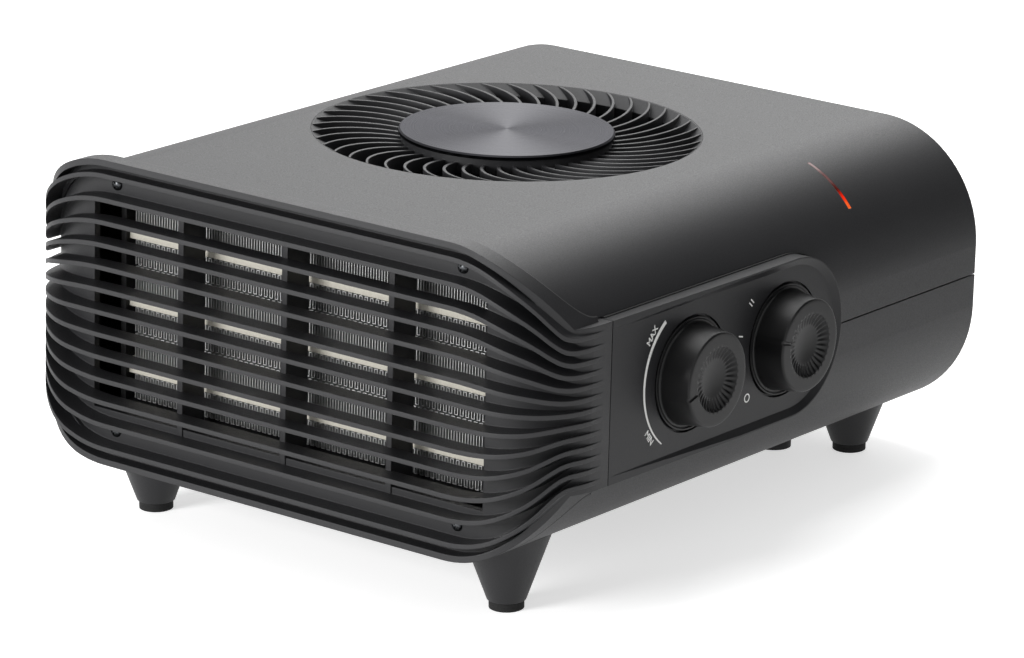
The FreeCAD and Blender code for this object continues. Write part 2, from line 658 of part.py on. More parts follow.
def pilot_lens():
    outside = BODY_CORNER
    inside = BODY_CORNER - WALL
    strip = pilot_band(inside - PILOT_FLANGE, outside, PILOT_W)
    flange = pilot_band(inside - PILOT_FLANGE, inside, PILOT_FLANGE_W)
    return join([strip, flange])


def scroll_outline(offset):
    """The blower's volute in plan, grown by offset: a round back and straight walls to the heater."""
    reach = SCROLL_R + offset
    arc = Part.Arc(point(reach, SCROLL_Y, 0), point(0, SCROLL_Y + reach, 0), point(-reach, SCROLL_Y, 0))
    straight = Part.makePolygon([
        point(-reach, SCROLL_Y, 0),
        point(-reach, HEATER_REAR_Y, 0),
        point(reach, HEATER_REAR_Y, 0),
        point(reach, SCROLL_Y, 0),
    ])
    return Part.Face(Part.Wire(Part.sortEdges([arc.toShape()] + straight.Edges)[0]))


def scroll_block(offset, z0, z1):
    face = scroll_outline(offset)
    face.translate(point(0, 0, z0))
    return face.extrude(UP * (z1 - z0))


def scroll_housing():
    outer = scroll_block(0, SCROLL_FLOOR_Z, SCROLL_TOP_Z)
    inner = scroll_block(-SCROLL_WALL, SCROLL_FLOOR_Z + SCROLL_WALL, SCROLL_TOP_Z + SCROLL_WALL)
    inner = inner.fuse(box(-SCROLL_R + SCROLL_WALL, SCROLL_R - SCROLL_WALL, HEATER_REAR_Y - SCROLL_WALL,
                           SCROLL_Y, SCROLL_FLOOR_Z + SCROLL_WALL, SCROLL_TOP_Z + SCROLL_WALL))
    tongue = box(IMPELLER_R + TONGUE_GAP, SCROLL_R - SCROLL_WALL / 2, SCROLL_Y - IMPELLER_R,
                 SCROLL_Y - IMPELLER_R / 2, SCROLL_FLOOR_Z + SCROLL_WALL / 2, SCROLL_TOP_Z)
    return join([outer.cut(inner), tongue])


def scroll_cover():
    plate = scroll_block(0, SCROLL_TOP_Z, SCROLL_TOP_Z + SCROLL_WALL)
    return plate.cut(rod(EYE_R, point(INLET_X, INLET_Y, SCROLL_TOP_Z - SCROLL_WALL), 3 * SCROLL_WALL))


def post_places():
    return [(side * SCROLL_R / 2, SCROLL_Y + front * SCROLL_R / 2) for side in (-1, 1) for front in (-1, 1)]


def motor_body():
    can = rod(MOTOR_R, point(INLET_X, INLET_Y, MOTOR_Z), MOTOR_H)
    start = point(INLET_X, INLET_Y, MOTOR_TOP_Z - MOTOR_SHAFT_REACH)
    return can.cut(rod(MOTOR_SHAFT_R + RUNNING_GAP, start, MOTOR_SHAFT_REACH))


def motor_shaft():
    start_z = MOTOR_TOP_Z - MOTOR_SHAFT_REACH + END_GAP
    return rod(MOTOR_SHAFT_R, point(INLET_X, INLET_Y, start_z), IMPELLER_Z + IMPELLER_HUB_H / 2 - start_z)


def impeller():
    """A back plate with a hub, forward-curved blades and a shroud ring."""
    top = IMPELLER_Z + IMPELLER_H
    plate = rod(IMPELLER_R, point(INLET_X, INLET_Y, IMPELLER_Z), IMPELLER_PLATE)
    hub = rod(IMPELLER_HUB_R, point(INLET_X, INLET_Y, IMPELLER_Z), IMPELLER_HUB_H)
    ring = rod(IMPELLER_R, point(INLET_X, INLET_Y, top - IMPELLER_RING), IMPELLER_RING)
    ring = ring.cut(rod(IMPELLER_R - IMPELLER_RING, point(INLET_X, INLET_Y, IMPELLER_Z), 2 * IMPELLER_H))
    blade = box(-BLADE_CHORD, 0, -BLADE_THICK / 2, BLADE_THICK / 2, IMPELLER_Z, top)
    blade.rotate(point(0, 0, 0), UP, BLADE_ANGLE)
    blade.translate(point(INLET_X + IMPELLER_R - IMPELLER_RING / 2, INLET_Y, 0))
    body = join([plate, hub, ring] + ring_copies(blade, BLADES, INLET_X, INLET_Y))
    body = body.common(rod(IMPELLER_R, point(INLET_X, INLET_Y, IMPELLER_Z), IMPELLER_H))
    socket = rod(MOTOR_SHAFT_R + RUNNING_GAP, point(INLET_X, INLET_Y, IMPELLER_Z), IMPELLER_HUB_H / 2)
    return body.cut(socket)


def heater_frame():
    outer = box(-HEATER_HALF_W, HEATER_HALF_W, HEATER_FRONT_Y, HEATER_REAR_Y,
                BODY_MID_Z - HEATER_HALF_H, BODY_MID_Z + HEATER_HALF_H)
    half_h = HEATER_HALF_H - HEATER_WALL
    half_w = HEATER_HALF_W - HEATER_WALL
    return outer.cut(box(-half_w, half_w, HEATER_FRONT_Y - WALL, HEATER_REAR_Y + WALL,
                         BODY_MID_Z - half_h, BODY_MID_Z + half_h))


def bar_heights():
    pitch = BAR_H + 2 * FIN_H
    return [BODY_MID_Z + (index - (BARS - 1) / 2) * pitch for index in range(BARS)]


def heater_bar(z):
    half_w = HEATER_HALF_W - HEATER_WALL
    return box(-half_w, half_w, HEATER_FRONT_Y + HEATER_INSET, HEATER_REAR_Y - HEATER_INSET,
               z - BAR_H / 2, z + BAR_H / 2)


def fin_strip(z0):
    """A corrugated strip with flat crests between z0 and z0 + FIN_H."""
    half_w = HEATER_HALF_W - HEATER_WALL - HEATER_INSET
    pitch = 2 * half_w / FIN_WAVES
    rise = pitch / 2 - FIN_FLAT
    lower = []
    for wave in range(FIN_WAVES):
        x = -half_w + wave * pitch
        lower += [(x, 0), (x + FIN_FLAT, 0)]
        lower += [(x + FIN_FLAT + rise, FIN_H - FIN_THICK), (x + 2 * FIN_FLAT + rise, FIN_H - FIN_THICK)]
    upper = [(x, height + FIN_THICK) for x, height in lower]
    corners = [point(x, HEATER_FRONT_Y + HEATER_INSET, z0 + height) for x, height in lower + upper[::-1]]
    face = Part.Face(Part.makePolygon(corners + corners[:1]))
    return face.extrude(BACK * (HEATER_DEPTH - 2 * HEATER_INSET))


def heater_fins():
    strips = []
    for z in bar_heights():
        strips += [fin_strip(z + BAR_H / 2), fin_strip(z - BAR_H / 2 - FIN_H)]
    return Part.makeCompound(strips)


def heater_terminal(z):
    middle_y = (HEATER_FRONT_Y + HEATER_REAR_Y) / 2
    return box(-HEATER_HALF_W - TERMINAL_REACH, -HEATER_HALF_W, middle_y - TERMINAL_W / 2,
               middle_y + TERMINAL_W / 2, z - TERMINAL_THICK / 2, z + TERMINAL_THICK / 2)


def thermal_cutout():
    middle_y = (HEATER_FRONT_Y + HEATER_REAR_Y) / 2
    return rod(CUTOUT_R, point(CUTOUT_X, middle_y, BODY_MID_Z + HEATER_HALF_H), CUTOUT_H)


def tip_plunger():
    """A stem through the bottom cover with a head inside the switch; its tip stands on the floor."""
    floor_z = (PLUNGER_Y - FOOT_FRONT_Y) * math.tan(math.radians(LEAN))
    tip_z = floor_z + PLUNGER_R * math.tan(math.radians(LEAN)) + RUNNING_GAP
    head_z = FLOOR_Z + PLUNGER_TRAVEL + END_GAP
    stem = rod(PLUNGER_R, point(PLUNGER_X, PLUNGER_Y, tip_z), head_z + PLUNGER_HEAD_H - tip_z)
    head = rod(PLUNGER_HEAD_R, point(PLUNGER_X, PLUNGER_Y, head_z), PLUNGER_HEAD_H)
    return stem.fuse(head).removeSplitter()


def tip_switch():
    """A box on the bottom cover with a round well for the plunger's head."""
    half = PLUNGER_HEAD_R + END_GAP + SWITCH_WALL
    well = PLUNGER_TRAVEL + PLUNGER_HEAD_H + 2 * END_GAP
    block = box(PLUNGER_X - half, PLUNGER_X + half, PLUNGER_Y - half, PLUNGER_Y + half,
                FLOOR_Z, FLOOR_Z + well + 2 * SWITCH_WALL)
    return block.cut(rod(PLUNGER_HEAD_R + END_GAP, point(PLUNGER_X, PLUNGER_Y, FLOOR_Z), well))


def cord_gland():
    flange = rod(GLAND_FLANGE_R, point(GLAND_X, REAR_Y, GLAND_Z), GLAND_FLANGE, BACK)
    sleeve = rod(GLAND_R - SLEEVE_GAP, point(GLAND_X, REAR_Y - GLAND_SLEEVE, GLAND_Z), GLAND_SLEEVE, BACK)
    return flange.fuse(sleeve).removeSplitter()


def terminal_block():
    return box(BLOCK_X - BLOCK_W / 2, BLOCK_X + BLOCK_W / 2, BLOCK_Y - BLOCK_D / 2, BLOCK_Y + BLOCK_D / 2,
               FLOOR_Z, FLOOR_Z + BLOCK_H)


def stood(shape):
    """The shape leaned back about the front feet's tips, so that the body stands on its feet."""
    leaned = shape.copy()
    leaned.rotate(point(0, FOOT_FRONT_Y, 0), ACROSS, -LEAN)
    return leaned


def stood_y(y, z):
    lean = math.radians(LEAN)
    return FOOT_FRONT_Y + (y - FOOT_FRONT_Y) * math.cos(lean) + z * math.sin(lean)


def foot(x, y):
    """A cone that tapers to its pad, cut to the housing that it carries."""
    height = BODY_MID_Z - PAD_H
    rise = BOTTOM_Z - PAD_H
    top_r = FOOT_TIP_R + FOOT_FLARE * height / rise
    cone = Part.makeCone(FOOT_TIP_R, top_r, height, point(x, y, PAD_H))
    return cone.cut(stood(section(0, -LONG, LONG)))


def foot_pad(x, y):
    return rod(PAD_R, point(x, y, 0), PAD_H)


def level_pieces():
    """Every piece that is drawn in the body's own frame."""
    pieces = {
        "top_cover": top_cover(),
        "bottom_cover": bottom_cover(),
        "front_grille": front_grille(),
        "control_panel": control_panel(),
        "side_panel": mirrored(side_panel()),
        "inlet_grille": inlet_grille(),
        "inlet_cap": inlet_cap(),
        "pilot_lens": pilot_lens(),
        "thermostat_knob": knob(THERMOSTAT_Y, THERMOSTAT_REST),
        "thermostat_shaft": control_shaft(THERMOSTAT_Y),
        "thermostat_body": control_body(THERMOSTAT_Y),
        "power_knob": knob(POWER_Y, POWER_REST),
        "power_shaft": control_shaft(POWER_Y),
        "power_switch": control_body(POWER_Y),
        "heater_frame": heater_frame(),
        "heater_fins": heater_fins(),
        "thermal_cutout": thermal_cutout(),
        "scroll_housing": scroll_housing(),
        "scroll_cover": scroll_cover(),
        "motor_body": motor_body(),
        "motor_shaft": motor_shaft(),
        "impeller": impeller(),
        "tip_switch": tip_switch(),
        "tip_plunger": tip_plunger(),
        "cord_gland": cord_gland(),
        "terminal_block": terminal_block(),
    }
    for index, z in enumerate(bar_heights()):
        pieces["heater_bar_%d" % (index + 1)] = heater_bar(z)
        pieces["heater_terminal_%d" % (index + 1)] = heater_terminal(z)
    for index, (x, z) in enumerate(screw_places()):
        pieces["grille_screw_%d" % (index + 1)] = grille_screw(x, z)
    for index, side in enumerate((-1, 1)):
        pieces["case_screw_%d" % (index + 1)] = case_screw(side * CASE_SCREW_X)
    return pieces


def all_pieces():
    """All pieces on the floor, with the origin under the middle of the whole object."""
    pieces = {name: stood(shape) for name, shape in level_pieces().items()}
    places = {"front": FOOT_FRONT_Y, "rear": FOOT_REAR_Y}
    for end, y in places.items():
        for name, side in (("left", -1), ("right", 1)):
            pieces["foot_%s_%s" % (end, name)] = foot(side * FOOT_X, y)
            pieces["pad_%s_%s" % (end, name)] = foot_pad(side * FOOT_X, y)
    middle_x = (KNOB_FACE_X - BODY_HALF_W - BORDER_H) / 2
    middle_y = (stood_y(FRONT_Y, BOTTOM_Z) + stood_y(REAR_Y, COVER_TOP_Z)) / 2
    for shape in pieces.values():
        shape.translate(point(-middle_x, -middle_y, 0))
    return pieces


os.makedirs("parts", exist_ok=True)
for name, shape in all_pieces().items():
    shape.exportStep("parts/%s.step" % name)
    facets = len(shape.tessellate(0.2)[1])
    print(name, "valid", shape.isValid(), "solids", len(shape.Solids), "facets", facets)
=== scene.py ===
# A low fan heater: ribbed wrap-round front, round swirl inlet with a spun cap, two side knobs, four feet.
# The imported frame gives every place. The pieces made here are the knobs, fins, screws, printed marks
# and the black strips round the side panels, which paint the shade in their gaps.
import json
import math

import bmesh
import bpy
from mathutils import Euler, Matrix, Vector


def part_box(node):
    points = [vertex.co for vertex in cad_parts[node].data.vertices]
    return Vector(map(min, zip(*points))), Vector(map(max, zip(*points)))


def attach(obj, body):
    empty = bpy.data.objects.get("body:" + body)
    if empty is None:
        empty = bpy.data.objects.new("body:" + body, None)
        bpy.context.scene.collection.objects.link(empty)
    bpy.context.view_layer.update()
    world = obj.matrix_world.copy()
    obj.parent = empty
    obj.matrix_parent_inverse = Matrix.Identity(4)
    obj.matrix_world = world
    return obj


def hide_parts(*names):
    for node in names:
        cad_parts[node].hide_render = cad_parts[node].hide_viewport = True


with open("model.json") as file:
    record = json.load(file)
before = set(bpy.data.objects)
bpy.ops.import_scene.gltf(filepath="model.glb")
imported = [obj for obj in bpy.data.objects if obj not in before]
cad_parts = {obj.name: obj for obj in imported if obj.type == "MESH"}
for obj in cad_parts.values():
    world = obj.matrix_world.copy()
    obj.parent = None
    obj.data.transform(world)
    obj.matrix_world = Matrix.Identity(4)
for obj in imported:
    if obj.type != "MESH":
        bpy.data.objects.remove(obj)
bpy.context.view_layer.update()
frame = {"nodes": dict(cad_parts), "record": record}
scene = bpy.context.scene
joints = {joint["name"]: joint for joint in frame["record"]["behaviour"]["joints"]}
MM = 0.001
MERGE = 0.0005 * MM

# The body leans back a little: its own up and back directions, and the turn that leans a level piece
UP = Vector(joints["fan_spin"]["axis"]).normalized()
ACROSS = Vector((1, 0, 0))
BACK = UP.cross(ACROSS)
LEAN_TURN = -math.atan2(UP.y, UP.z)

# Knobs: a beaded skirt, a tapered body, and a flat face ring round a fluted dimple
KNOB_STEPS = 256
KNOB_FOOT_R = 19.1 * MM
KNOB_FACE_R = 17.7 * MM
KNOB_SKIRT_W = 2.3 * MM
KNOB_SKIRT_H = 1.6 * MM
KNOB_BACK_BREAK = 0.3 * MM
# Points of the skirt's bead in millimetres: inwards from its rim and down from its top
KNOB_BEAD = ((0, 0.5), (0.15, 0.1), (0.5, 0), (0.85, 0.1), (1.1, 0.45), (1.4, 0.5))
KNOB_FILLET = 1.2 * MM
KNOB_FILLET_STEPS = 4
KNOB_EDGE_R = 0.8 * MM
KNOB_EDGE_STEPS = 5
KNOB_RING_STEPS = 5
KNOB_DIMPLE_R = 12.1 * MM
KNOB_DIMPLE_BREAK = 0.15 * MM
KNOB_DIMPLE_DROP = 0.1 * MM
KNOB_BOWL_DEPTH = 2.496 * MM
KNOB_BOWL_CURVE = 0.75
KNOB_BOWL_STEPS = 18
KNOB_SHARP = math.radians(50)
FLUTES = 32
FLUTE_DEPTH = 0.45 * MM
FLUTE_INNER_R = 7.4 * MM
FLUTE_REACH = 0.62
FLUTE_CURVE = 0.7
FLUTE_AT_RIM = 0.8
POINTER_W = 1.2 * MM
POINTER_DEPTH = 0.6 * MM
THERMOSTAT_REST = math.radians(14)
POWER_REST = math.radians(-15)

# Heating element's fins
ELEMENT_BARS = 3
FIN_LEG_SPACING = 1.3 * MM
FIN_SHEET = 0.45 * MM
FIN_WIDTH_SHARE = 0.98
FIN_DEPTH_SHARE = 0.99

# Screws
SCREW_HEAD_R = 2.3 * MM
SCREW_HEAD_H = 1.6 * MM
SCREW_SHANK_R = 1.6 * MM
SCREW_SHARP = math.radians(40)
RECESS_W = 0.8 * MM
RECESS_L = 2.8 * MM
RECESS_DEPTH = 0.8 * MM

# Black strips of painted shade in the gap round the side panels, placed from the thermostat's axis
PANEL_HALF_H = 31.0 * MM
PANEL_TO_FRONT = 48.0 * MM
PANEL_TO_ROUND = 63.9 * MM
KNOB_LEVEL = 0.5 * MM
STRIP_INSET = 0.03 * MM
STRIP_H = 0.34 * MM
STRIP_DEPTH = 2.4 * MM
STRIP_STEPS = 48

# Printed marks on the control panel
INK_RISE = 0.05 * MM
SCALE_R = 28.6 * MM
SCALE_FROM = math.radians(54.5)
SCALE_TO = math.radians(-54)
SCALE_W = 1.6 * MM
SCALE_END_W = 0.5 * MM
SCALE_CURVE = 0.8
SCALE_STEPS = 48
WORD_SIZE = 3.6 * MM
WORD_SWELL = 0.02
MAX_R = 31.5 * MM
MAX_ANGLE = math.radians(38.4)
MIN_R = 31.2 * MM
MIN_ANGLE = math.radians(-37.7)
POWER_MARK_R = 28.6 * MM
OFF_ANGLE = math.radians(-38.8)
LOW_ANGLE = math.radians(14.3)
HIGH_ANGLE = math.radians(41)
STROKE_L = 2.6 * MM
STROKE_W = 0.5 * MM
STROKE_GAP = 1.5 * MM
OFF_R = 1.5 * MM
OFF_STEPS = 40

# The camera that took the photograph
CAMERA_FROM_FEET = Vector((1.21575, -1.45188, 0.71544))
CAMERA_AZIMUTH = math.radians(37.845)
CAMERA_ELEVATION = math.radians(18.297)
CAMERA_ROLL = math.radians(0.149)
CAMERA_LENS = 189.05
CAMERA_SENSOR = 36
CAMERA_REACH = 50

# The room in metres and watts; lamps and cards face the object's middle unless they say otherwise
ROOM_LIGHT = 0.4
ROOM_SEEN = 1.0
FLOOR_SIDE = 8.0
FLOOR_DROP = 0.1 * MM
FLOOR_LIFT_SEEN = 0.6
FLOOR_LIFT_MIRRORED = 0.5
OBJECT_MIDDLE = (0, 0, 0.08)
OVERHEAD = {"size": 1.6, "power": 24, "place": (-0.3, 0.2, 1.9)}
FRONT = {"size": 0.8, "power": 38, "place": (-0.6, -1.9, 0.7)}
REAR_LEFT = {"size": 1.8, "power": 16, "place": (-1.0, 1.8, 1.3)}
REAR_FLAG = {"width": 1.7, "height": 1.9, "place": (0.935, 0.97, 0.95)}
FLOOR_FLAG = {"width": 1.2, "height": 1.2, "place": (0.9, 0.85, 0.002), "target": (0.9, 0.85, 1)}


def srgb(code):
    """Linear RGBA of an sRGB hex colour."""
    values = [int(code[start:start + 2], 16) / 255 for start in (1, 3, 5)]
    return tuple(v / 12.92 if v <= 0.04045 else ((v + 0.055) / 1.055) ** 2.4 for v in values) + (1.0,)


def add(tree, kind, inputs=None, **settings):
    """A node with its settings; each input is a value, or the socket that feeds it."""
    node = tree.nodes.new(kind)
    for name, value in settings.items():
        setattr(node, name, value)
    for name, value in (inputs or {}).items():
        if isinstance(value, bpy.types.NodeSocket):
            tree.links.new(value, node.inputs[name])
        else:
            node.inputs[name].default_value = value
    return node


def maths(tree, operation, *values):
    """The result of one operation on values or sockets."""
    return add(tree, "ShaderNodeMath", dict(enumerate(values)), operation=operation).outputs["Value"]


def xyz(tree, x=0.0, y=0.0, z=0.0):
    """A vector of three values or sockets."""
    return add(tree, "ShaderNodeCombineXYZ", {"X": x, "Y": y, "Z": z}).outputs["Vector"]


def ramp(tree, value, start, end, low, high, **settings):
    """Goes from low to high while the value goes from start to end."""
    node = add(tree, "ShaderNodeMapRange", {"Value": value, "From Min": start, "From Max": end,
                                            "To Min": low, "To Max": high}, **settings)
    return node.outputs["Result"]


def new_material(name):
    """A material and its empty tree."""
    material = bpy.data.materials.new(name)
    material.use_nodes = True
    material.node_tree.nodes.clear()
    return material, material.node_tree


def object_place(tree):
    """The coordinates that every pattern follows."""
    return add(tree, "ShaderNodeTexCoord").outputs["Object"]


def per_mm(size):
    """The texture scale on Object coordinates whose features are about size millimetres wide."""
    return 1 / (size * MM)


def noise(tree, place, size, detail=2.0):
    """Soft variation with features about size millimetres wide."""
    return add(tree, "ShaderNodeTexNoise", {
        "Vector": place, "Scale": per_mm(size), "Detail": detail}).outputs["Fac"]


def blend(tree, share, dark, light):
    """A colour between two sRGB hex colours."""
    return add(tree, "ShaderNodeMix", {0: share, 6: srgb(dark), 7: srgb(light)}, data_type="RGBA").outputs[2]


def uneven_gloss(tree, grain, smooth, rough):
    """Roughness that follows a noise, between two values."""
    return ramp(tree, grain, 0.3, 0.7, smooth, rough)


def relief(tree, height, strength, depth, **under):
    """The normal of a surface with a relief of depth millimetres."""
    return add(tree, "ShaderNodeBump", {
        "Height": height, "Strength": strength, "Distance": depth * MM, **under}).outputs["Normal"]


def surface(material, tree, inputs):
    """The material, ended by a principled shader with these inputs."""
    shader = add(tree, "ShaderNodeBsdfPrincipled", inputs)
    add(tree, "ShaderNodeOutputMaterial", {"Surface": shader.outputs["BSDF"]})
    return material


def moulded_plastic(name, dark, light, grain, depth, smooth, rough, edge, specular=0.35):
    """Plastic from a spark-eroded tool: a fine pebble breaks up the gloss, and the mould rounds the edges."""
    material, tree = new_material(name)
    place = object_place(tree)
    pebble = noise(tree, place, grain)
    cloud = noise(tree, place, 45, detail=3.0)
    corner = add(tree, "ShaderNodeBevel", {"Radius": edge * MM}, samples=4)
    return surface(material, tree, {
        "Base Color": blend(tree, cloud, dark, light), "Roughness": uneven_gloss(tree, pebble, smooth, rough),
        "IOR": 1.54, "Specular IOR Level": specular,
        "Normal": relief(tree, pebble, 0.5, depth, Normal=corner.outputs["Normal"])})


def case_plastic():
    """Black ABS of the housing. The pebble is really about 0.2 mm and is drawn at 0.5 mm so that it shows."""
    return moulded_plastic("moulded_black_abs", "#19191b", "#202022",
                           grain=0.5, depth=0.02, smooth=0.42, rough=0.56, edge=0.5)


def panel_plastic():
    """The side panels' ABS, from a finer tool: a duller, darker black that mirrors little of the floor."""
    return moulded_plastic("fine_black_abs", "#171719", "#1d1d1f",
                           grain=0.35, depth=0.01, smooth=0.4, rough=0.52, edge=0.3, specular=0.25)


def knob_plastic():
    """Satin black ABS of the knobs: almost no grain, a soft sheen on every curve."""
    return moulded_plastic("satin_black_abs", "#0b0b0c", "#101011",
                           grain=0.25, depth=0.006, smooth=0.34, rough=0.42, edge=0.15, specular=0.22)


def inner_plastic():
    """Plain black polyamide of the blower and switches, dull from its glass filling."""
    return moulded_plastic("glass_filled_black_nylon", "#0a0a0b", "#101011",
                           grain=0.8, depth=0.03, smooth=0.55, rough=0.7, edge=0.2)


def rubber():
    """Black rubber of the pads and the gland, also given to the strips of painted shade round the side
    panels: dark, with a dusty dull surface.
    """
    return moulded_plastic("moulded_black_rubber", "#0f0f10", "#161616",
                           grain=0.6, depth=0.03, smooth=0.75, rough=0.9, edge=0.3)


def spun_metal():
    """Dark anodised aluminium, turned on a lathe: rings that stretch each highlight into a wedge."""
    material, tree = new_material("spun_dark_aluminium")
    place = object_place(tree)
    low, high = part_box("inlet_cap")
    arm = add(tree, "ShaderNodeVectorMath", {0: place, 1: (low + high) / 2}, operation="SUBTRACT")
    along = add(tree, "ShaderNodeVectorMath", {0: UP, 1: arm.outputs["Vector"]}, operation="CROSS_PRODUCT")
    radius = add(tree, "ShaderNodeVectorMath", {0: along.outputs["Vector"]}, operation="LENGTH")
    # Lathe rings are about 0.1 mm apart and are drawn at 0.4 mm so that they show
    rings = add(tree, "ShaderNodeTexNoise", {
        "W": radius.outputs["Value"], "Scale": per_mm(0.4), "Detail": 3.0}, noise_dimensions="1D")
    rings = rings.outputs["Fac"]
    return surface(material, tree, {
        "Base Color": blend(tree, rings, "#2b2b2e", "#3a3a3d"), "Metallic": 1.0,
        "Roughness": uneven_gloss(tree, rings, 0.26, 0.34), "Specular Tint": srgb("#dadadc"),
        "Anisotropic": 0.95, "Tangent": along.outputs["Vector"], "Normal": relief(tree, rings, 0.2, 0.01)})


def pilot_red():
    """Clear red acrylic, dark above: a lamp behind its lower half glows red with an orange core."""
    material, tree = new_material("lit_red_acrylic")
    place = object_place(tree)
    low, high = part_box("pilot_lens")
    level = add(tree, "ShaderNodeSeparateXYZ", {"Vector": place}).outputs["Z"]
    level = ramp(tree, level, low.z, high.z, 0.0, 1.0)
    glow = ramp(tree, level, 0.35, 0.55, 1.0, 0.03, interpolation_type="SMOOTHSTEP")
    core = ramp(tree, level, 0.1, 0.4, 1.0, 0.0, interpolation_type="SMOOTHSTEP")
    hot = maths(tree, "MULTIPLY", core, noise(tree, place, 1.5))
    return surface(material, tree, {
        "Base Color": srgb("#4a120c"), "Roughness": 0.15, "IOR": 1.49,
        "Emission Color": blend(tree, hot, "#e82408", "#ffa046"), "Emission Strength": glow})


def metal(name, dark, light, streak, stretch, smooth, rough):
    """Bare metal with fine drawn streaks along one direction and uneven gloss."""
    material, tree = new_material(name)
    place = object_place(tree)
    drawn = add(tree, "ShaderNodeMapping", {"Vector": place, "Scale": stretch})
    streaks = noise(tree, drawn.outputs["Vector"], streak, detail=3.0)
    return surface(material, tree, {
        "Base Color": blend(tree, streaks, dark, light), "Metallic": 1.0,
        "Roughness": uneven_gloss(tree, streaks, smooth, rough), "Normal": relief(tree, streaks, 0.2, 0.02)})


def steel():
    """Steel of screws, shafts and terminals, coloured dark bluish grey, with a soft uneven shine."""
    return metal("dark_grey_steel", "#3a3b3d", "#585a5c", 1.2, (1, 1, 1), 0.28, 0.45)


def aluminium():
    """Rolled aluminium foil of the fins: pale, with streaks along the roll."""
    return metal("rolled_aluminium", "#b9babb", "#d2d2d1", 0.6, (1, 0.1, 1), 0.3, 0.5)


def motor_steel():
    """Plated can of the motor: mid grey, drawn along its height."""
    return metal("drawn_steel_can", "#6c6d70", "#86878a", 0.8, (1, 1, 0.1), 0.35, 0.5)


def cream_ceramic():
    """Bare ceramic casing of the element bars: a dry cream body with fine speckle."""
    material, tree = new_material("bare_cream_ceramic")
    place = object_place(tree)
    speck = noise(tree, place, 0.8, detail=4.0)
    return surface(material, tree, {
        "Base Color": blend(tree, speck, "#cdc8ba", "#e6e2d6"), "Roughness": 0.75, "IOR": 1.6,
        "Normal": relief(tree, speck, 0.3, 0.03)})


def white_ink():
    """Pad-printed white ink: flat and slightly uneven where the film is thin."""
    material, tree = new_material("pad_printed_white")
    place = object_place(tree)
    film = noise(tree, place, 0.7)
    return surface(material, tree, {
        "Base Color": blend(tree, film, "#d6d6d4", "#f2f2f0"), "Roughness": 0.5, "IOR": 1.5})


FINISHES = {
    "case_plastic": case_plastic(),
    "panel_plastic": panel_plastic(),
    "knob_plastic": knob_plastic(),
    "inner_plastic": inner_plastic(),
    "rubber": rubber(),
    "spun_metal": spun_metal(),
    "pilot_red": pilot_red(),
    "steel": steel(),
    "aluminium": aluminium(),
    "motor_steel": motor_steel(),
    "cream_ceramic": cream_ceramic(),
}
INK = white_ink()


def dress_frame():
    """Every CAD node takes the finish of its slot."""
    for part in frame["record"]["subparts"]:
        mesh = frame["nodes"][part["node"]].data
        mesh.materials.clear()
        mesh.materials.append(FINISHES[part["material_slot"]])


def new_piece(name, mesh, material):
    """An object of one finish, at the origin."""
    mesh.materials.clear()
    mesh.materials.append(material)
    piece = bpy.data.objects.new(name, mesh)
    scene.collection.objects.link(piece)
    return piece


def closed_mesh(name, verts, faces):
    """A mesh with doubles merged and faces turned outwards."""
    shape = bmesh.new()
    corners = [shape.verts.new(place) for place in verts]
    for face in faces:
        shape.faces.new([corners[index] for index in face])
    bmesh.ops.remove_doubles(shape, verts=shape.verts, dist=MERGE)
    bmesh.ops.recalc_face_normals(shape, faces=shape.faces)
    mesh = bpy.data.meshes.new(name)
    shape.to_mesh(mesh)
    shape.free()
    return mesh


def panel_place(centre, radius, angle):
    """A point round a knob's axis at an angle above the forward direction."""
    return centre - BACK * (radius * math.cos(angle)) + UP * (radius * math.sin(angle))


def knob_profile(height):
    """(radius, distance from the back) along a knob's outside, from the back's middle to the dimple's."""
    skirt_r = KNOB_FOOT_R + KNOB_SKIRT_W
    profile = [(0, 0), (skirt_r - KNOB_BACK_BREAK, 0), (skirt_r, KNOB_BACK_BREAK)]
    profile += [(skirt_r - inward * MM, KNOB_SKIRT_H - down * MM) for inward, down in KNOB_BEAD]
    skirt_level = profile[-1][1]
    for step in range(KNOB_FILLET_STEPS + 1):
        turn = math.pi / 2 * step / KNOB_FILLET_STEPS
        profile.append((KNOB_FOOT_R + KNOB_FILLET / 2 * (1 - math.sin(turn)),
                        skirt_level + KNOB_FILLET * (1 - math.cos(turn))))
    taper = (KNOB_FOOT_R - KNOB_FACE_R) / (height - KNOB_SKIRT_H)
    edge_r = KNOB_FACE_R + taper * KNOB_EDGE_R
    for step in range(KNOB_EDGE_STEPS + 1):
        turn = math.pi / 2 * step / KNOB_EDGE_STEPS
        profile.append((edge_r - KNOB_EDGE_R * (1 - math.cos(turn)),
                        height - KNOB_EDGE_R * (1 - math.sin(turn))))
    ring_r = profile[-1][0]
    ring_w = ring_r - KNOB_DIMPLE_R - KNOB_DIMPLE_BREAK
    for step in range(1, KNOB_RING_STEPS + 1):
        profile.append((ring_r - ring_w * step / KNOB_RING_STEPS, height))
    for step in range(KNOB_BOWL_STEPS + 1):
        share = 1 - step / KNOB_BOWL_STEPS
        sink = KNOB_BOWL_DEPTH * (1 - share ** 2) ** KNOB_BOWL_CURVE
        profile.append((KNOB_DIMPLE_R * share, height - KNOB_DIMPLE_DROP - sink))
    return profile


def flute_sink(r, angle):
    """How deep the flutes cut into a knob's dimple, fading out towards its smooth middle."""
    if r > KNOB_DIMPLE_R or r < FLUTE_INNER_R:
        return 0.0
    along = (r - FLUTE_INNER_R) / (KNOB_DIMPLE_R - FLUTE_INNER_R)
    fade = math.sin(math.pi * FLUTE_REACH * along ** FLUTE_CURVE) if along < 1 else FLUTE_AT_RIM
    return FLUTE_DEPTH * fade * (0.5 - 0.5 * math.cos(FLUTES * angle))


